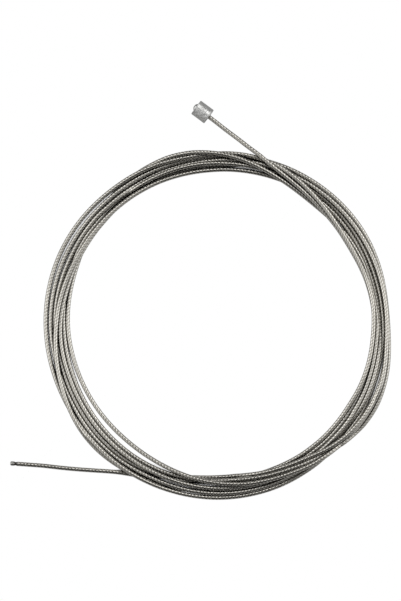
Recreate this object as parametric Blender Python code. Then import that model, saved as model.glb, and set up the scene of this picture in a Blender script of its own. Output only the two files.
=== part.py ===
"""A coiled inner cable for a bicycle's gear shifter, lying flat.

The barrel head is cast round one end of the wire strand, and the other end is welded into a bead.
The strand lies between them as a lead, a coil of several turns and a second lead. Metres, +Z up.
"""

import math

import bmesh
import bpy
import numpy as np
from mathutils import Matrix, Vector

MM = 0.001

# Wire strand
CABLE_DIAMETER = 1.15 * MM
GAP = 0.3 * MM
CABLE_SIDES_RESOLUTION = 2
LEAD_STEP = 2.6 * MM
SAMPLES_A_SPAN = 60

# Coil: its height, the rounding of its section, and its inner and outer radius at each angle
COIL_HEIGHT = 3.0 * MM
COIL_ROUNDING = 0.8 * MM
COIL_ANGLE_STEPS = 120
COIL_OUTLINE = (
    (0, 40.9, 45.6), (20, 39.4, 45.6), (45, 39.1, 45.2), (65, 39.8, 44.8), (90, 39.0, 44.7),
    (108, 38.9, 45.5), (125, 39.4, 45.0), (150, 40.2, 46.0), (165, 39.8, 46.6), (185, 40.2, 47.2),
    (207, 40.0, 47.5), (225, 40.5, 48.9), (243, 41.2, 48.4), (262, 42.4, 48.9), (280, 42.1, 48.8),
    (298, 42.4, 47.8), (313, 41.9, 47.2), (328, 41.6, 48.7), (345, 41.1, 47.3),
)  # degrees from +X, then millimetres from the coil's centre

# Head: the barrel that the shifter pulls on, and the boss left by casting it
HEAD_DIAMETER = 4.4 * MM
HEAD_LENGTH = 4.3 * MM
HEAD_CHAMFER = 0.12 * MM
BOSS_DIAMETER = 2.0 * MM
BOSS_HEIGHT = 0.6 * MM
TURNED_SIDES = 64
ROUNDED_ROWS = 5
CREASE = math.radians(30)

# Welded tip: the bead, and the ring groove that parts it from the strand
BEAD_LENGTH = 1.1 * MM
BEAD_ROUNDING = 0.35 * MM
GROOVE_WIDTH = 0.35 * MM
GROOVE_DEPTH = 0.12 * MM

# The leads' routes, in millimetres from the coil's centre on the floor: chosen by hand
HEAD_LEAD = (
    (-2.84, 53.73, 2.2), (-1.4, 52.65, 2.2), (1.6, 50.3, 2.24), (4.8, 47.9, 2.44), (7.9, 45.5, 2.66),
    (11.2, 43.0, 2.85),
)
TAIL_LEAD = (
    (-54.0, -39.25, 0.575), (-50.5, -39.5, 0.575), (-46.8, -39.8, 0.575), (-43.3, -40.2, 0.575),
    (-38.0, -40.7, 0.575), (-32.2, -41.1, 0.575), (-26.5, -41.6, 0.575), (-21.0, -42.4, 0.575),
)


def clear_scene():
    for thing in list(bpy.data.objects):
        bpy.data.objects.remove(thing, do_unlink=True)


def metal(name, colour, roughness):
    """A bare metal with this colour and roughness."""
    material = bpy.data.materials.new(name)
    material.use_nodes = True
    shader = material.node_tree.nodes["Principled BSDF"]
    shader.inputs["Base Color"].default_value = (*colour, 1.0)
    shader.inputs["Metallic"].default_value = 1.0
    shader.inputs["Roughness"].default_value = roughness
    return material


def add_object(name, data, material):
    thing = bpy.data.objects.new(name, data)
    data.materials.append(material)
    bpy.context.scene.collection.objects.link(thing)
    return thing


def smooth_curve(points):
    """Close samples of a smooth curve through the route's own points.

    A natural cubic spline: its bends solve m[i-1] + 4 m[i] + m[i+1] = 6 (p[i+1] - 2 p[i] + p[i-1]).
    """
    route = np.array(points) * MM
    last = len(route) - 1
    system = np.eye(last + 1)
    wanted = np.zeros_like(route)
    for i in range(1, last):
        system[i, i - 1:i + 2] = (1, 4, 1)
        wanted[i] = 6 * (route[i + 1] - 2 * route[i] + route[i - 1])
    bends = np.linalg.solve(system, wanted)
    t = np.linspace(0, last, last * SAMPLES_A_SPAN + 1)[:, None]
    i = np.minimum(t.astype(int), last - 1)[:, 0]
    a, b = t - i[:, None], i[:, None] + 1 - t
    curve = b * route[i] + a * route[i + 1]
    return curve + (b ** 3 - b) / 6 * bends[i] + (a ** 3 - a) / 6 * bends[i + 1]


def lead_points(route):
    """Evenly spaced points along the route, from its free end to a gap before the coil's side."""
    curve = smooth_curve(route)
    way = np.gradient(curve, axis=0)
    way /= np.linalg.norm(way, axis=1)[:, None]
    kept = 0
    for point, along in zip(curve, way):
        distance = math.hypot(point[0], point[1])
        angle = math.degrees(math.atan2(point[1], point[0])) % 360
        inwards = (along[0] * point[0] + along[1] * point[1]) / distance
        reach = CABLE_DIAMETER / 2 * math.sqrt(1 - inwards ** 2)
        if distance - reach < coil_radii(angle)[1] + GAP:
            break
        kept += 1
    curve = curve[:kept]
    run = np.concatenate([[0], np.cumsum(np.linalg.norm(np.diff(curve, axis=0), axis=1))])
    stops = np.linspace(0, run[-1], round(run[-1] / LEAD_STEP) + 1)
    return np.stack([np.interp(stops, run, curve[:, axis]) for axis in range(3)], axis=1)


def make_lead(name, points, material):
    """A tube of the strand's diameter along these points."""
    curve = bpy.data.curves.new(name, "CURVE")
    curve.dimensions = "3D"
    curve.bevel_depth = CABLE_DIAMETER / 2
    curve.bevel_resolution = CABLE_SIDES_RESOLUTION
    curve.use_fill_caps = True
    spline = curve.splines.new("POLY")
    spline.points.add(len(points) - 1)
    for place, point in zip(spline.points, points):
        place.co = (*point, 1.0)
    return add_object(name, curve, material)


def turned_mesh(name, profile):
    """A closed solid turned about +Z from (radius, height) pairs, the first and last on the axis."""
    shape = bmesh.new()
    points = [shape.verts.new((radius, 0.0, height)) for radius, height in profile]
    edges = [shape.edges.new(pair) for pair in zip(points, points[1:])]
    bmesh.ops.spin(shape, geom=points + edges, cent=(0, 0, 0), axis=(0, 0, 1), dvec=(0, 0, 0),
                   angle=math.tau, steps=TURNED_SIDES, use_merge=True)
    bmesh.ops.remove_doubles(shape, verts=shape.verts, dist=MM / 1000)
    bmesh.ops.recalc_face_normals(shape, faces=shape.faces)
    mesh = bpy.data.meshes.new(name)
    shape.to_mesh(mesh)
    shape.free()
    mesh.shade_smooth()
    mesh.set_sharp_from_angle(angle=CREASE)
    return mesh


def aim(thing, place, direction):
    """Puts the object's origin at place with its +Z along direction."""
    turn = Vector(direction).to_track_quat("Z", "Y").to_matrix().to_4x4()
    thing.matrix_world = Matrix.Translation(Vector(place)) @ turn


def rounded(radius, base, width, height):
    """A quarter of an ellipse in a profile, from (radius + width, base) to (radius, base + height)."""
    turns = [math.pi / 2 * row / ROUNDED_ROWS for row in range(ROUNDED_ROWS + 1)]
    return [(radius + width * math.cos(turn), base + height * math.sin(turn)) for turn in turns]


def seat_on_end(name, profile, lead, material):
    """Turns the profile into a piece in line with the lead's start, a gap away from its end."""
    piece = add_object(name, turned_mesh(name, profile), material)
    outwards = (Vector(lead[0]) - Vector(lead[1])).normalized()
    aim(piece, Vector(lead[0]) + outwards * GAP, outwards)
    return piece


def make_head(lead, material):
    """The barrel: chamfered rims, its boss outwards, and a shallow socket that takes the strand's end."""
    radius = HEAD_DIAMETER / 2
    rim = radius - HEAD_CHAMFER
    socket = CABLE_DIAMETER / 2 + GAP
    face = -GAP
    end = face + HEAD_LENGTH
    profile = [(0, 0), (socket, 0), (socket, face), (rim, face), (radius, face + HEAD_CHAMFER),
               (radius, end - HEAD_CHAMFER), (rim, end)]
    profile += rounded(0, end, BOSS_DIAMETER / 2, BOSS_HEIGHT)
    return seat_on_end("head", profile, lead, material)


def make_tip(lead, material):
    """A collar of the strand's diameter, the ring groove and the bead with its rounded end."""
    radius = CABLE_DIAMETER / 2
    bottom = radius - GROOVE_DEPTH
    bead = 2 * GROOVE_WIDTH
    profile = [(0, 0), (radius, 0), (radius, GROOVE_WIDTH), (bottom, GROOVE_WIDTH), (bottom, bead)]
    profile += rounded(radius - BEAD_ROUNDING, bead + BEAD_LENGTH - BEAD_ROUNDING,
                       BEAD_ROUNDING, BEAD_ROUNDING)
    profile.insert(-ROUNDED_ROWS - 1, (radius, bead))
    profile.append((0, bead + BEAD_LENGTH))
    return seat_on_end("welded_tip", profile, lead, material)


def coil_radii(angle):
    """The coil's inner and outer radius at this angle, eased between the measured places."""
    places = [*COIL_OUTLINE, (COIL_OUTLINE[0][0] + 360, *COIL_OUTLINE[0][1:])]
    for (start, *first), (end, *second) in zip(places, places[1:]):
        if start <= angle <= end:
            share = (1 - math.cos(math.pi * (angle - start) / (end - start))) / 2
            return [(a + (b - a) * share) * MM for a, b in zip(first, second)]


def make_coil(material):
    """The coil as one ring: a rectangle with cut corners, carried round the coil's centre."""
    cut = COIL_ROUNDING
    shape = bmesh.new()
    rings = []
    for step in range(COIL_ANGLE_STEPS):
        angle = 360 * step / COIL_ANGLE_STEPS
        inner, outer = coil_radii(angle)
        section = [(inner + cut, 0), (outer - cut / 2, 0), (outer, cut / 2),
                   (outer, COIL_HEIGHT - cut), (outer - cut, COIL_HEIGHT),
                   (inner + cut, COIL_HEIGHT), (inner, COIL_HEIGHT - cut), (inner, cut)]
        turn = math.radians(angle)
        rings.append([shape.verts.new((radius * math.cos(turn), radius * math.sin(turn), height))
                      for radius, height in section])
    for ring, after in zip(rings, rings[1:] + rings[:1]):
        for i in range(len(ring)):
            j = (i + 1) % len(ring)
            shape.faces.new((ring[i], ring[j], after[j], after[i]))
    bmesh.ops.recalc_face_normals(shape, faces=shape.faces)
    mesh = bpy.data.meshes.new("coil")
    shape.to_mesh(mesh)
    shape.free()
    mesh.shade_smooth()
    mesh.set_sharp_from_angle(angle=CREASE)
    return add_object("coil", mesh, material)


def centre_on_origin(things):
    """Moves the pieces together so that their box stands on the origin with its base's middle."""
    bpy.context.view_layer.update()
    corners = [thing.matrix_world @ Vector(corner) for thing in things for corner in thing.bound_box]
    low = Vector(map(min, zip(*corners)))
    high = Vector(map(max, zip(*corners)))
    shift = Vector(((low.x + high.x) / 2, (low.y + high.y) / 2, low.z))
    for thing in things:
        thing.matrix_world = Matrix.Translation(-shift) @ thing.matrix_world


def main():
    clear_scene()
    steel = metal("stainless_wire", (0.40, 0.39, 0.36), 0.32)
    zinc = metal("plated_zinc", (0.62, 0.62, 0.62), 0.22)
    welded = metal("welded_steel", (0.50, 0.49, 0.47), 0.30)
    head_lead = lead_points(HEAD_LEAD)
    tail_lead = lead_points(TAIL_LEAD)
    things = [
        make_lead("head_lead", head_lead, steel),
        make_lead("tail_lead", tail_lead, steel),
        make_coil(steel),
        make_head(head_lead, zinc),
        make_tip(tail_lead, welded),
    ]
    centre_on_origin(things)


main()
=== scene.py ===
"""Looks of a coiled shift cable: the strand with its outer wires, the cast head and the welded tip.

Metres, +Z up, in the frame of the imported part, whose box stands on the origin.
"""

import math

import bpy
import numpy as np
from mathutils import Matrix, Vector


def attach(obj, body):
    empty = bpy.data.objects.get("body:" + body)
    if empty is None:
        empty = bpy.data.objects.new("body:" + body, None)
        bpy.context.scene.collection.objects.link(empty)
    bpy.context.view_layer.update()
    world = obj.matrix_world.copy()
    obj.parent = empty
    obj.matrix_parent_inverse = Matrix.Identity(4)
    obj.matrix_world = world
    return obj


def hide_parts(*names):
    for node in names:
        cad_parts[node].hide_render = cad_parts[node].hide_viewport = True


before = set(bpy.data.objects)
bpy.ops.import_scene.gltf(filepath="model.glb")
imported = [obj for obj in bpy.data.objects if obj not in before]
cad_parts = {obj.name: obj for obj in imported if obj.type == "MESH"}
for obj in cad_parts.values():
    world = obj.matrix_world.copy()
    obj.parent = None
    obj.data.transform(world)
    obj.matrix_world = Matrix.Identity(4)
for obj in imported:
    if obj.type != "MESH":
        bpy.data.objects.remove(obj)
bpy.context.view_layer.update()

MM = 0.001

# Camera
# The photograph looks straight down, and its lens is long, so that the coil's height hardly shows.
# The picture is 601 pixels high at 3.727 pixels to the millimetre.
PICTURE_HEIGHT = 601 / 3.727 * MM
PICTURE_MIDDLE = Vector((-0.10, -0.23, 0.0)) * MM
SENSOR = 36.0
LENS = 200.0

camera_data = bpy.data.cameras.new("camera")
camera_data.sensor_width = SENSOR
camera_data.lens = LENS
camera_data.clip_start = 0.01
camera = bpy.data.objects.new("camera", camera_data)
camera.location = PICTURE_MIDDLE + Vector((0, 0, PICTURE_HEIGHT * LENS / SENSOR))
bpy.context.scene.collection.objects.link(camera)
bpy.context.scene.camera = camera


# The cable's run
# One steel strand, 1.15 mm thick, wound by hand into a coil that is a little untidy: its turns wander
# across each other. Its two ends are straight leads, one to the head and one to the welded tip.
CABLE_DIAMETER = 1.15 * MM
COIL_CENTRE = np.array((4.999, -4.794, 0.0)) * MM
HEAD_LEAD = np.array((
    (-2.84, 53.73, 2.2), (-1.4, 52.65, 2.2), (1.6, 50.3, 2.24), (4.8, 47.9, 2.44), (7.9, 45.5, 2.66),
    (11.2, 43.0, 2.85),
)) * MM  # from the coil's centre, as in the part
TAIL_LEAD = np.array((
    (-54.0, -39.25, 0.575), (-50.5, -39.5, 0.575), (-46.8, -39.8, 0.575), (-43.3, -40.2, 0.575),
    (-38.0, -40.7, 0.575), (-32.2, -41.1, 0.575), (-26.5, -41.6, 0.575), (-21.0, -42.4, 0.575),
)) * MM
# Each turn's stations: degrees from +X, millimetres from the coil's centre to the strand's middle, and
# how many layers up it starts. Listed from the tip's end of the strand to the head's.
TURNS = (
    ((249, 45.5, 0), (260, 43.4, 0), (283, 43.0, 0.3), (306, 45.0, 2), (312, 45.9, 2), (350, 45.5, 0),
     (360, 44.6, 0), (375, 44.5, 0), (405, 44.0, 0), (435, 42.1, 0)),
    ((90, 40.6, 0), (100, 40.5, 0.2), (140, 40.5, 1), (160, 41.1, 1.2), (170, 41.6, 1), (180, 42.6, 0.4),
     (205, 43.4, 0), (220, 44.0, 0.2), (240, 44.7, 1.8), (250, 45.1, 2), (270, 45.8, 1), (290, 45.5, 0.8),
     (300, 45.0, 0.2), (330, 43.8, 0), (340, 43.2, 0.1), (360, 42.1, 0.5), (370, 41.4, 0.5),
     (390, 40.7, 0.2), (410, 39.4, 0), (420, 39.8, 0.5), (435, 41.6, 2), (445, 43.2, 2.2)),
    ((100, 44.8, 1.8), (120, 44.5, 0.1), (140, 42.5, 0), (155, 40.8, 0), (178, 40.8, 0), (190, 40.7, 0),
     (205, 40.7, 0), (220, 40.9, 0), (232, 41.2, 0), (245, 42.0, 0.2), (265, 43.9, 2), (280, 45.1, 2),
     (290, 45.5, 2), (310, 46.8, 2), (330, 47.3, 1), (336, 47.1, 0.8), (350, 45.3, 1.2), (360, 44.7, 1.4),
     (410, 43.3, 0.7), (420, 42.9, 0.6)),
    ((110, 42.0, 0.6), (140, 42.2, 1.1), (155, 42.9, 0.8), (170, 43.7, 0.2), (180, 44.1, 0), (200, 44.2, 0),
     (220, 45.2, 0), (240, 45.6, 0), (250, 45.1, 1.2), (290, 43.0, 0), (305, 42.8, 0), (320, 42.2, 0),
     (340, 41.8, 0.2), (350, 41.5, 0.6), (368, 41.1, 1), (390, 39.8, 1), (420, 42.3, 2.2),
     (430, 43.6, 2.1)),
    ((90, 44.0, 1), (100, 43.8, 1), (110, 44.2, 1), (130, 44.7, 1.1), (140, 45.2, 0.5), (150, 45.7, 0.2),
     (160, 46.1, 0), (180, 46.6, 0), (200, 46.9, 0), (217, 47.2, 0.2), (235, 47.8, 1.6), (245, 48.0, 1.9),
     (270, 48.3, 0.2), (300, 47.2, 0), (320, 45.9, 0), (330, 45.5, 0), (340, 44.9, 0), (360, 43.8, 0.3),
     (370, 43.3, 0.4), (405, 42.5, 0.5)),
    ((90, 41.3, 0.7), (100, 41.4, 0.6), (140, 41.4, 1), (150, 41.7, 1), (170, 41.7, 0.1), (225, 43.2, 0),
     (235, 43.6, 0.2), (245, 43.9, 0.7), (258, 44.0, 1.2), (275, 43.6, 1.3), (285, 44.1, 1.6),
     (300, 45.0, 2.1), (316, 47.4, 1.8), (324, 48.2, 0.7), (330, 48.3, 0.4), (360, 44.9, 0.7),
     (375, 44.8, 0.7), (410, 44.3, 0.5)),
    ((90, 43.2, 0.4), (100, 42.8, 0.4), (110, 43.0, 0.6), (120, 43.2, 0.9), (140, 43.6, 0.8),
     (150, 44.1, 0.4), (160, 44.6, 0.1), (180, 45.3, 0), (205, 45.6, 0.2), (220, 46.3, 1), (235, 46.6, 1.6),
     (248, 46.65, 1.4), (262, 47.05, 0.9), (275, 47.1, 0.4), (290, 46.8, 0), (310, 45.3, 0), (330, 44.7, 0),
     (340, 44.1, 0), (360, 42.9, 0.3), (370, 42.2, 0.3), (390, 41.6, 0.3), (405, 41.5, 0.2),
     (422, 40.6, 0)),
    ((90, 39.7, 0.2), (130, 40.1, 1.4), (150, 40.9, 2.1), (180, 43.5, 1.4), (209, 46.8, 1.4),
     (225, 48.3, 0.2), (240, 47.9, 1), (255, 47.2, 0.2), (285, 45.6, 0), (297, 44.4, 0), (310, 43.7, 0),
     (350, 41.9, 0.1), (360, 41.5, 0.2), (380, 40.2, 0), (400, 39.6, 0.3), (420, 40.9, 2), (425, 41.6, 2.3),
     (430, 42.6, 2.7)),
)
LAYER = 0.95 * MM  # from one layer of strands to the next, which lies in its furrows
PATH_STEP = 0.5 * MM
# The settling: how closely it follows the run, and how far a round sinks, straightens and pulls it.
STEPS_A_DEGREE = 0.75
SETTLING_ROUNDS = 500
SINKING = 0.01 * MM
STRAIGHTENING = 0.6
EASING = 0.3
FIRST_PULL = 0.10  # back to the traced radius, as a share of the way
LAST_PULL = 0.02
CROSSING = 0.75 * CABLE_DIAMETER  # nearer than this from above, one strand passes over the other
PUSH = 0.25
LEAD_BLEND = 8.0  # degrees over which the strand comes free of a lead's own course
CLEAR_OF_LEAD = 2.0  # degrees from a lead's last point to the coil's first


def spline(knots, values, at):
    """A natural cubic spline through uneven knots.

    Its bends m solve h[i-1] m[i-1] + 2 (h[i-1] + h[i]) m[i] + h[i] m[i+1] = 6 times the change of slope.
    """
    h = np.diff(knots)
    slopes = np.diff(values) / h
    inner = np.arange(1, len(knots) - 1)
    system = np.eye(len(knots))
    system[inner, inner - 1] = h[:-1]
    system[inner, inner] = 2 * (h[:-1] + h[1:])
    system[inner, inner + 1] = h[1:]
    wanted = np.zeros(len(knots))
    wanted[1:-1] = 6 * np.diff(slopes)
    bends = np.linalg.solve(system, wanted)
    i = np.clip(np.searchsorted(knots, at) - 1, 0, len(h) - 1)
    b = (at - knots[i]) / h[i]
    a = 1 - b
    return (a * values[i] + b * values[i + 1]
            + h[i] ** 2 / 6 * ((a ** 3 - a) * bends[i] + (b ** 3 - b) * bends[i + 1]))


def smoothed(values, share):
    """Moves each value this share of the way to the middle of its two neighbours; the ends stay."""
    out = values.copy()
    out[1:-1] += share * ((values[:-2] + values[2:]) / 2 - values[1:-1])
    return out


def polar(route, first_turn):
    """Degrees, radius and height of a lead's points, with the angle counted on from this turn."""
    degrees = np.degrees(np.arctan2(route[:, 1], route[:, 0])) % 360 + 360 * first_turn
    return np.stack([degrees, np.hypot(route[:, 0], route[:, 1]), route[:, 2]], axis=1)


def whole_run():
    """Every station from the tip to the head, as degrees wound so far, radius and height."""
    coil = [(360 * turn + degrees, radius * MM, CABLE_DIAMETER / 2 + LAYER * layer)
            for turn, stations in enumerate(TURNS) for degrees, radius, layer in stations]
    tail = polar(TAIL_LEAD, 0)
    head = polar(HEAD_LEAD, len(TURNS))[::-1]
    return np.concatenate([tail, coil, head])


def settle(run):
    """The strand's height and radius at even angles once its turns lie on each other.

    Each round lets the strand sink a little and straightens it. Two places that have come nearer than a
    diameter are then pushed apart, up and down where one passes over the other, as they were laid, and
    sideways elsewhere. The leads stay where the part has them.
    """
    stops = np.arange(run[0, 0], run[-1, 0] + 1 / STEPS_A_DEGREE, 1 / STEPS_A_DEGREE)
    traced = spline(run[:, 0], run[:, 1], stops)
    radius = traced.copy()
    laid = np.interp(stops, run[:, 0], run[:, 2])
    height = laid.copy()
    tail_end = run[len(TAIL_LEAD) - 1, 0]
    head_start = run[-len(HEAD_LEAD), 0]
    held = (np.clip((tail_end - stops) / LEAD_BLEND + 0.5, 0, 1)
            + np.clip((stops - head_start) / LEAD_BLEND + 0.5, 0, 1))
    lap = round(360 * STEPS_A_DEGREE)
    lags = [laps * lap + shift for laps in range(1, len(TURNS)) for shift in range(-3, 4)
            if laps * lap + shift < len(stops)]
    for rounds in range(SETTLING_ROUNDS):
        late = rounds / SETTLING_ROUNDS
        height = height - SINKING * (1 - late)
        for _ in range(4):
            height = smoothed(height, STRAIGHTENING)
        radius = radius + (FIRST_PULL + (LAST_PULL - FIRST_PULL) * late) * (traced - radius)
        radius = smoothed(radius, EASING)
        for lag in lags:
            shift = math.radians(lag / STEPS_A_DEGREE)
            r1, r2 = radius[:-lag], radius[lag:]
            flat = np.sqrt(np.maximum(r1 ** 2 + r2 ** 2 - 2 * r1 * r2 * math.cos(shift), 0))
            z = height[lag:] - height[:-lag]
            over = np.where(laid[lag:] < laid[:-lag], -1, 1)
            lift = np.sqrt(np.maximum(CABLE_DIAMETER ** 2 - flat ** 2, 0)) - over * z
            lift = np.where(flat < CROSSING, np.maximum(lift, 0), 0) * over * PUSH
            aside = np.sqrt(np.maximum(CABLE_DIAMETER ** 2 - z ** 2, 0)) - flat
            aside = np.where(flat < CROSSING, 0, np.maximum(aside, 0)) * np.sign(r2 - r1) * PUSH
            height[lag:] += lift
            height[:-lag] -= lift
            radius[lag:] += aside
            radius[:-lag] -= aside
        height = np.maximum(height, CABLE_DIAMETER / 2)
        height += held * (laid - height)
        radius += held * (traced - radius)
    for _ in range(6):
        height = smoothed(height, 0.5)
    coiled = (stops > tail_end + CLEAR_OF_LEAD) & (stops < head_start - CLEAR_OF_LEAD)
    wound = np.radians(stops[coiled])
    coil = np.stack([radius[coiled] * np.cos(wound), radius[coiled] * np.sin(wound), height[coiled]], axis=1)
    return np.concatenate([TAIL_LEAD, coil, HEAD_LEAD[::-1]]) + COIL_CENTRE


def evenly(points, step):
    """The same curve with its points a step apart along it."""
    run = np.concatenate([[0], np.cumsum(np.linalg.norm(np.diff(points, axis=0), axis=1))])
    stops = np.linspace(0, run[-1], round(run[-1] / step) + 1)
    return np.stack([spline(run, points[:, axis], stops) for axis in range(3)], axis=1)


path = evenly(settle(whole_run()), PATH_STEP)


# Strand
# Nineteen drawn stainless wires laid in one direction: a core of seven under twelve outer wires with a
# right-hand lay. Only the outer twelve show, so the inner seven are one core, coloured near black as
# painted shade for the gaps between the outer wires.
OUTER_WIRES = 12
LAY_LENGTH = 11.0 * MM
LAY_MARK = LAY_LENGTH / OUTER_WIRES
MARKS_ROUND = 3  # in place of the twelve wires
WIRE_THICKNESS = 0.23 * MM
# A wire's section, all the way round: how deep, in thicknesses, and how far to the side, in halves of its
# share of the turn. Die-drawing has flattened its outside.
WIRE_SECTION = (
    (0.0, -0.86), (0.0, -0.3), (0.0, 0.3), (0.0, 0.86), (0.1, 0.97), (0.7, 0.7), (0.7, -0.7),
    (0.1, -0.97),
)
CORE_SIDES = 12
SOFT_EDGE = math.radians(30)
# The wire's colour, and a darker one, which the slanting marks mix: painted shine and painted shade of the
# outer wires.
WIRE_COLOUR = "#E8E5DE"
WIRE_SHADE = "#BAB6AC"
# Painted shade in the crevices: the wire's colour darkens where other strands close the metal in.
CREVICE_SHADE = "#2B2822"
CREVICE_REACH = 1.1 * MM
CREVICE_OPEN = (0.35, 0.85)  # how open to the air the metal is where its painted shade is darkest, and where it has none
# Painted shade: the core's near-black colour stands for the shaded gaps between the outer wires.
CORE_PAINTED_SHADE = "#1A1712"
WIRE_ROUGHNESS = 0.17
CORE_ROUGHNESS = 0.5
SUNK_IN_CORE = 0.4  # the share of an outer wire's thickness that lies inside the core

core_radius = CABLE_DIAMETER / 2 - (1 - SUNK_IN_CORE) * WIRE_THICKNESS


def linear(hex_colour):
    """The linear values of an sRGB hex colour, with an alpha of 1."""
    parts = [int(hex_colour[i:i + 2], 16) / 255 for i in (1, 3, 5)]
    return (*(c / 12.92 if c <= 0.04045 else ((c + 0.055) / 1.055) ** 2.4 for c in parts), 1.0)


def add_node(tree, kind, links=None, **settings):
    """A node with these sockets set and these sockets fed; a key that is no socket sets the node itself."""
    node = tree.nodes.new(kind)
    for name, value in settings.items():
        if hasattr(node, name):
            setattr(node, name, value)
        else:
            node.inputs[name.replace("_", " ")].default_value = value
    for name, source in (links or {}).items():
        tree.links.new(source, node.inputs[name])
    return node


def new_material(name):
    """An empty material with its output, ready for a shader."""
    material = bpy.data.materials.new(name)
    material.use_nodes = True
    material.node_tree.nodes.clear()
    return material, material.node_tree


def surface(material, shader):
    """Shows this shader on the material."""
    tree = material.node_tree
    add_node(tree, "ShaderNodeOutputMaterial", {"Surface": shader.outputs[0]})
    return material


def across(directions):
    """Two unit vectors square to each direction: one as near to straight up as it goes, one sideways."""
    up = np.array((0.0, 0.0, 1.0)) - directions * directions[:, 2:3]
    up /= np.linalg.norm(up, axis=1)[:, None]
    return up, np.cross(directions, up)


def unit_steps(points):
    """The direction of a line of points at each of them."""
    steps = np.gradient(points, axis=0)
    return steps / np.linalg.norm(steps, axis=1)[:, None]


def lofted(name, rings):
    """A closed solid whose skin joins each ring of points to the next: rings is rows by sides by 3.

    It shades smooth, but for its edges sharper than SOFT_EDGE, so that its flat ends don't shine as domes.
    """
    rows, sides = rings.shape[:2]
    row, side = np.meshgrid(np.arange(rows - 1), np.arange(sides), indexing="ij")
    after = (side + 1) % sides
    quads = np.stack([row * sides + side, row * sides + after,
                      (row + 1) * sides + after, (row + 1) * sides + side], axis=-1).reshape(-1, 4)
    last = (rows - 1) * sides
    caps = [tuple(range(sides))[::-1], tuple(range(last, last + sides))]
    mesh = bpy.data.meshes.new(name)
    mesh.from_pydata(rings.reshape(-1, 3), [], [*quads.tolist(), *caps])
    mesh.shade_smooth()
    mesh.set_sharp_from_angle(angle=SOFT_EDGE)
    thing = bpy.data.objects.new(name, mesh)
    bpy.context.scene.collection.objects.link(thing)
    return thing


def on_strand(distance, angle):
    """Points at this distance from the path's line and this angle round it, from straight up."""
    return path[:, None] + distance[..., None] * (
        np.cos(angle)[..., None] * up[:, None] + np.sin(angle)[..., None] * side[:, None])


def lay_coordinates(thing, angle):
    """A UV map: marks along the strand, and turns round it, at each corner of the skin's faces."""
    mesh = thing.data
    corners = np.empty(len(mesh.loops), dtype=int)
    mesh.loops.foreach_get("vertex_index", corners)
    marks = np.repeat(along / LAY_MARK, angle.shape[1])
    turns = angle.reshape(-1) / math.tau
    layer = mesh.uv_layers.new(name="lay")
    layer.uv.foreach_set("vector", np.stack([marks[corners], turns[corners]], axis=1).reshape(-1))


def drawn_stainless(name, colour, dark_colour, roughness):
    """Bright drawn stainless wire, die-drawn after laying, so that its outside is smooth.

    The outer wires are under a pixel wide in the picture, so single ones are too fine to show. Slanting
    marks of the same spacing along the strand, but fewer round it, are painted shine and painted shade in
    place of theirs. Where other strands close the metal in, its colour is darkened: painted shade in the
    crevices of a coil.
    """
    material, tree = new_material(name)
    # The slanting marks along the lay: a painted shine and painted shade of the outer wires.
    place = add_node(tree, "ShaderNodeUVMap", uv_map="lay")
    split = add_node(tree, "ShaderNodeSeparateXYZ", {"Vector": place.outputs[0]})
    slant = add_node(tree, "ShaderNodeMath", {0: split.outputs["Y"]}, operation="MULTIPLY")
    slant.inputs[1].default_value = -MARKS_ROUND
    phase = add_node(tree, "ShaderNodeMath", {0: split.outputs["X"], 1: slant.outputs[0]}, operation="ADD")
    turn = add_node(tree, "ShaderNodeMath", {0: phase.outputs[0]}, operation="MULTIPLY")
    turn.inputs[1].default_value = math.tau
    wave = add_node(tree, "ShaderNodeMath", {0: turn.outputs[0]}, operation="SINE")
    share = add_node(tree, "ShaderNodeMapRange", {"Value": wave.outputs[0]}, From_Min=-0.8, From_Max=0.8)
    mixed = add_node(tree, "ShaderNodeMix", {"Factor": share.outputs[0]}, data_type="RGBA")
    mixed.inputs[6].default_value = linear(dark_colour)
    mixed.inputs[7].default_value = linear(colour)
    # Painted shade: the colour darkens as the metal is closed in by other strands.
    open_air = add_node(tree, "ShaderNodeAmbientOcclusion", Distance=CREVICE_REACH, samples=6)
    unshaded = add_node(tree, "ShaderNodeMapRange", {"Value": open_air.outputs["AO"]},
                    From_Min=CREVICE_OPEN[0], From_Max=CREVICE_OPEN[1])
    crevice_shaded = add_node(tree, "ShaderNodeMix", {"Factor": unshaded.outputs[0]}, data_type="RGBA")
    crevice_shaded.inputs[6].default_value = linear(CREVICE_SHADE)
    tree.links.new(mixed.outputs[2], crevice_shaded.inputs[7])
    shader = add_node(tree, "ShaderNodeBsdfPrincipled", {"Base Color": crevice_shaded.outputs[2]},
                      Metallic=1.0, Roughness=roughness)
    return surface(material, shader)


def plain_metal(name, colour, roughness):
    """One colour of bare metal, for what the light hardly reaches or what has no pattern."""
    material, tree = new_material(name)
    shader = add_node(tree, "ShaderNodeBsdfPrincipled", Metallic=1.0, Roughness=roughness)
    shader.inputs["Base Color"].default_value = linear(colour)
    return surface(material, shader)


directions = unit_steps(path)
up, side = across(directions)
along = np.concatenate([[0], np.cumsum(np.linalg.norm(np.diff(path, axis=0), axis=1))])
wire_half_turn = math.pi / OUTER_WIRES
section_radius = CABLE_DIAMETER / 2 - WIRE_THICKNESS * np.array([spot[0] for spot in WIRE_SECTION])
section_angle = wire_half_turn * np.array([spot[1] for spot in WIRE_SECTION])
stainless = drawn_stainless("drawn_stainless", WIRE_COLOUR, WIRE_SHADE, WIRE_ROUGHNESS)
wires = []
for number in range(OUTER_WIRES):
    middle = math.tau * (along / LAY_LENGTH + number / OUTER_WIRES)
    angle = middle[:, None] + section_angle[None]
    wire = lofted(f"wire_{number + 1}", on_strand(np.broadcast_to(section_radius, angle.shape), angle))
    lay_coordinates(wire, angle)
    wire.data.materials.append(stainless)
    wires.append(wire)
round_core = np.broadcast_to(np.linspace(0, math.tau, CORE_SIDES, endpoint=False), (len(path), CORE_SIDES))
core = lofted("strand_core", on_strand(np.full(round_core.shape, core_radius), round_core))
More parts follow.
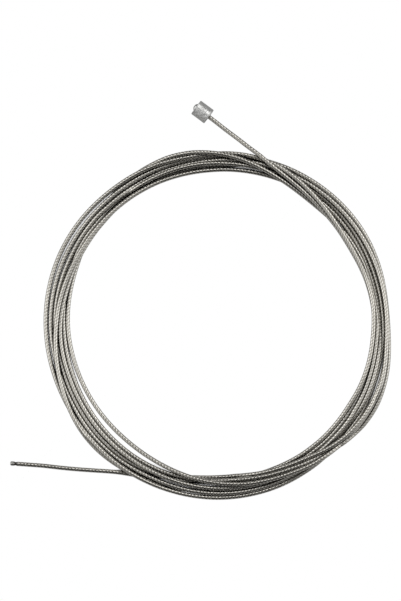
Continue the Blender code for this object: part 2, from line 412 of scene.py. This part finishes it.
# The core's near-black colour is painted shade for the gaps between the outer wires.
core.data.materials.append(plain_metal("strand_core", CORE_PAINTED_SHADE, CORE_ROUGHNESS))
for piece in (core, *wires):
    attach(piece, "root")
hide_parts("head_lead", "coil", "tail_lead")


# Head
# A barrel of zinc alloy cast round the end of the strand and plated. The boss in the middle of its outer
# end is what is left of the casting's gate.
HEAD_LENGTH = 4.3 * MM
HEAD_DIAMETER = 4.4 * MM
HEAD_CHAMFER = 0.12 * MM
BOSS_DIAMETER = 2.0 * MM
BOSS_HEIGHT = 0.6 * MM
SOCKET_GAP = 0.3 * MM
CAP_RADIUS = 0.05 * MM  # the small flat that closes a turned piece on its axis
BOSS_ROWS = 9
HEAD_SIDES = 96
ZINC_COLOUR = "#E2E2E0"
ZINC_ROUGHNESS = 0.38
# The cast skin's grain is too fine to show in the render, so it is drawn coarser and deeper than it is.
CAST_GRAIN = 0.7 * MM
CAST_RELIEF = 0.13 * MM


def arc(centre, radius, start, end, count):
    """Points of a profile on an ellipse's arc, from one angle to another in degrees."""
    turn = np.radians(np.linspace(start, end, count))
    return [(centre[0] + radius[0] * math.cos(t), centre[1] + radius[1] * math.sin(t)) for t in turn]


def turned(name, profile, place, axis, sides):
    """A closed solid of revolution: each (radius, height) pair is a ring round the axis from the place."""
    radius, height = np.array(profile).T
    turn = np.linspace(0, math.tau, sides, endpoint=False)
    thing = lofted(name, np.stack([radius[:, None] * np.cos(turn), radius[:, None] * np.sin(turn),
                                   height[:, None] + 0 * turn], axis=-1))
    thing.data.transform(Matrix.Translation(place) @ axis.to_track_quat("Z", "Y").to_matrix().to_4x4())
    return thing


head_place = Vector(path[-1])
head_axis = Vector(directions[-1])
rim = HEAD_DIAMETER / 2 - HEAD_CHAMFER
socket = CABLE_DIAMETER / 2 + SOCKET_GAP
head_profile = [
    (CAP_RADIUS, SOCKET_GAP), (socket, SOCKET_GAP), (socket, 0), (rim, 0), (HEAD_DIAMETER / 2, HEAD_CHAMFER),
    (HEAD_DIAMETER / 2, HEAD_LENGTH - HEAD_CHAMFER), (rim, HEAD_LENGTH),
    *arc((0, HEAD_LENGTH), (BOSS_DIAMETER / 2, BOSS_HEIGHT), 0, 88, BOSS_ROWS),
]
head = turned("cast_head", head_profile, head_place, head_axis, HEAD_SIDES)
zinc, tree = new_material("plated_cast_zinc")
place = add_node(tree, "ShaderNodeTexCoord")
skin = add_node(tree, "ShaderNodeTexNoise", {"Vector": place.outputs["Object"]}, Scale=1 / CAST_GRAIN,
                Detail=3.0)
bump = add_node(tree, "ShaderNodeBump", {"Height": skin.outputs[0]}, Distance=CAST_RELIEF)
shader = add_node(tree, "ShaderNodeBsdfPrincipled", {"Normal": bump.outputs[0]}, Metallic=1.0,
                  Roughness=ZINC_ROUGHNESS)
shader.inputs["Base Color"].default_value = linear(ZINC_COLOUR)
head.data.materials.append(surface(zinc, shader))
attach(head, "root")
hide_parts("head")


# Welded tip
# The nineteen wires' ends are fused into a bead, so that they can't fray. A ring groove is pinched behind
# it, and its walls and floor are coloured dark.
BEAD_LENGTH = 1.1 * MM
BEAD_ROUNDING = 0.35 * MM
GROOVE_WIDTH = 0.35 * MM
GROOVE_DEPTH = 0.12 * MM
GROOVE_SLOPE = 0.06 * MM
BEAD_ROWS = 8
TIP_SIDES = 48
BEAD_COLOUR = "#B9B8B4"
BEAD_ROUGHNESS = 0.3
GROOVE_DARK_COLOUR = "#4A4640"
GROOVE_ROUGHNESS = 0.5

tip_place = Vector(path[0])
tip_axis = -Vector(directions[0])
radius = CABLE_DIAMETER / 2
bead = 2 * GROOVE_WIDTH + SOCKET_GAP
tip_profile = [
    (CAP_RADIUS, 0), (radius, 0), (radius, GROOVE_WIDTH),
    (radius - GROOVE_DEPTH, GROOVE_WIDTH + GROOVE_SLOPE), (radius - GROOVE_DEPTH, bead - GROOVE_SLOPE),
    (radius, bead),
    *arc((radius - BEAD_ROUNDING, bead + BEAD_LENGTH - BEAD_ROUNDING), (BEAD_ROUNDING, BEAD_ROUNDING),
         0, 90, BEAD_ROWS),
    (CAP_RADIUS, bead + BEAD_LENGTH),
]
tip = turned("welded_bead", tip_profile, tip_place, tip_axis, TIP_SIDES)
tip.data.materials.append(plain_metal("fused_steel", BEAD_COLOUR, BEAD_ROUGHNESS))
tip.data.materials.append(plain_metal("dark_groove", GROOVE_DARK_COLOUR, GROOVE_ROUGHNESS))
for face in tip.data.polygons[2 * TIP_SIDES:5 * TIP_SIDES]:  # the groove's two walls and its floor
    face.material_index = 1
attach(tip, "root")
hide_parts("welded_tip")


# Floor and light
# A white table, and a room whose walls are white to the left and right and fade to dark in front and
# behind, so that strands which run sideways look dark. One long lamp over the back wall draws the thin
# line along those, and two weak ones light the head and the strands from both sides.
FLOOR_HALF = 2.0
SHADE_REACH = 8.0 * MM
SHADE_OPEN = (0.18, 0.25)  # how open to the sky the table is where its painted shadow is darkest, and where it is white
TABLE_GREY = (0.15, 0.15, 0.15, 1.0)  # what the object's own light and shade see of the table
ROOM_WHITE = (1.0, 1.0, 1.0, 1.0)
ROOM_DARK = 0.04
TABLE_SHINE = 0.3
WALLS_TURNED = math.radians(3)
WALL_FADE = 2.8  # a higher power makes the white walls narrower
LIGHTS = (
    ("back_strip", (0.0, 0.90, 1.26), (0.0, 0.90), (3.6, 0.45), 2.1),
    ("left_box", (-0.70, 0.0, 0.45), (-0.70, 0.0), (0.70, 0.50), 0.45),
    ("right_box", (0.70, 0.0, 0.45), (0.70, 0.0), (0.70, 0.50), 0.5),
)  # name, place, how far its aim lies off straight down, size and brightness


def seen_white(tree, ray, glossy):
    """The share of white that a ray sees: all of it from the camera or through glass, else by glossy."""
    shine = add_node(tree, "ShaderNodeMath", {0: ray.outputs["Is Glossy Ray"], 1: glossy},
                     operation="MULTIPLY")
    both = add_node(tree, "ShaderNodeMath", {0: ray.outputs["Is Camera Ray"], 1: shine.outputs[0]})
    return add_node(tree, "ShaderNodeMath", {0: both.outputs[0], 1: ray.outputs["Is Transmission Ray"]},
                    use_clamp=True).outputs[0]


floor_mesh = bpy.data.meshes.new("floor")
floor_mesh.from_pydata([(-FLOOR_HALF, -FLOOR_HALF, 0), (FLOOR_HALF, -FLOOR_HALF, 0),
                        (FLOOR_HALF, FLOOR_HALF, 0), (-FLOOR_HALF, FLOOR_HALF, 0)], [], [(0, 1, 2, 3)])
floor = bpy.data.objects.new("floor", floor_mesh)
bpy.context.scene.collection.objects.link(floor)
white, tree = new_material("white_table")
ray = add_node(tree, "ShaderNodeLightPath")
# Painted shadow: the table's white glow darkens where the coil closes it in from the sky.
open_sky = add_node(tree, "ShaderNodeAmbientOcclusion", Distance=SHADE_REACH, samples=16)
shade = add_node(tree, "ShaderNodeMapRange", {"Value": open_sky.outputs["AO"]},
                 From_Min=SHADE_OPEN[0], From_Max=SHADE_OPEN[1])
glow = add_node(tree, "ShaderNodeEmission", {"Color": shade.outputs[0]}, Strength=1.0)
grey = add_node(tree, "ShaderNodeBsdfDiffuse", Color=TABLE_GREY)
seen = add_node(tree, "ShaderNodeMixShader")
mirrored = add_node(tree, "ShaderNodeMath", {0: shade.outputs[0]}, operation="MULTIPLY")
mirrored.inputs[1].default_value = TABLE_SHINE
tree.links.new(seen_white(tree, ray, mirrored.outputs[0]), seen.inputs[0])
tree.links.new(grey.outputs[0], seen.inputs[1])
tree.links.new(glow.outputs[0], seen.inputs[2])
floor_mesh.materials.append(surface(white, seen))

for name, place, lean, size, brightness in LIGHTS:
    lamp_data = bpy.data.lights.new(name, "AREA")
    lamp_data.shape = "RECTANGLE"
    lamp_data.size, lamp_data.size_y = size
    lamp_data.energy = math.pi * size[0] * size[1] * brightness
    lamp = bpy.data.objects.new(name, lamp_data)
    lamp.location = place
    lamp.rotation_euler = (-math.atan2(lean[1], place[2]), math.atan2(lean[0], place[2]), 0)
    bpy.context.scene.collection.objects.link(lamp)

world = bpy.data.worlds.new("room")
world.use_nodes = True
tree = world.node_tree
tree.nodes.clear()
ray = add_node(tree, "ShaderNodeLightPath")
way = add_node(tree, "ShaderNodeTexCoord")
level = add_node(tree, "ShaderNodeVectorMath", {0: way.outputs["Generated"]}, operation="MULTIPLY")
level.inputs[1].default_value = (1.0, 1.0, 0.0)
heading = add_node(tree, "ShaderNodeVectorMath", {0: level.outputs[0]}, operation="NORMALIZE")
across_room = add_node(tree, "ShaderNodeVectorMath", {0: heading.outputs[0]}, operation="DOT_PRODUCT")
across_room.inputs[1].default_value = (math.cos(WALLS_TURNED), math.sin(WALLS_TURNED), 0.0)
sideways = add_node(tree, "ShaderNodeMath", {0: across_room.outputs["Value"]}, operation="ABSOLUTE")
wall = add_node(tree, "ShaderNodeMath", {0: sideways.outputs[0]}, operation="POWER")
wall.inputs[1].default_value = WALL_FADE
dark = add_node(tree, "ShaderNodeBackground", Color=ROOM_WHITE, Strength=ROOM_DARK)
bright = add_node(tree, "ShaderNodeBackground", Color=ROOM_WHITE, Strength=1.0)
mix = add_node(tree, "ShaderNodeMixShader")
tree.links.new(seen_white(tree, ray, wall.outputs[0]), mix.inputs[0])
tree.links.new(dark.outputs[0], mix.inputs[1])
tree.links.new(bright.outputs[0], mix.inputs[2])
add_node(tree, "ShaderNodeOutputWorld", {"Surface": mix.outputs[0]})
bpy.context.scene.world = world
bpy.context.scene.view_settings.view_transform = "Standard"
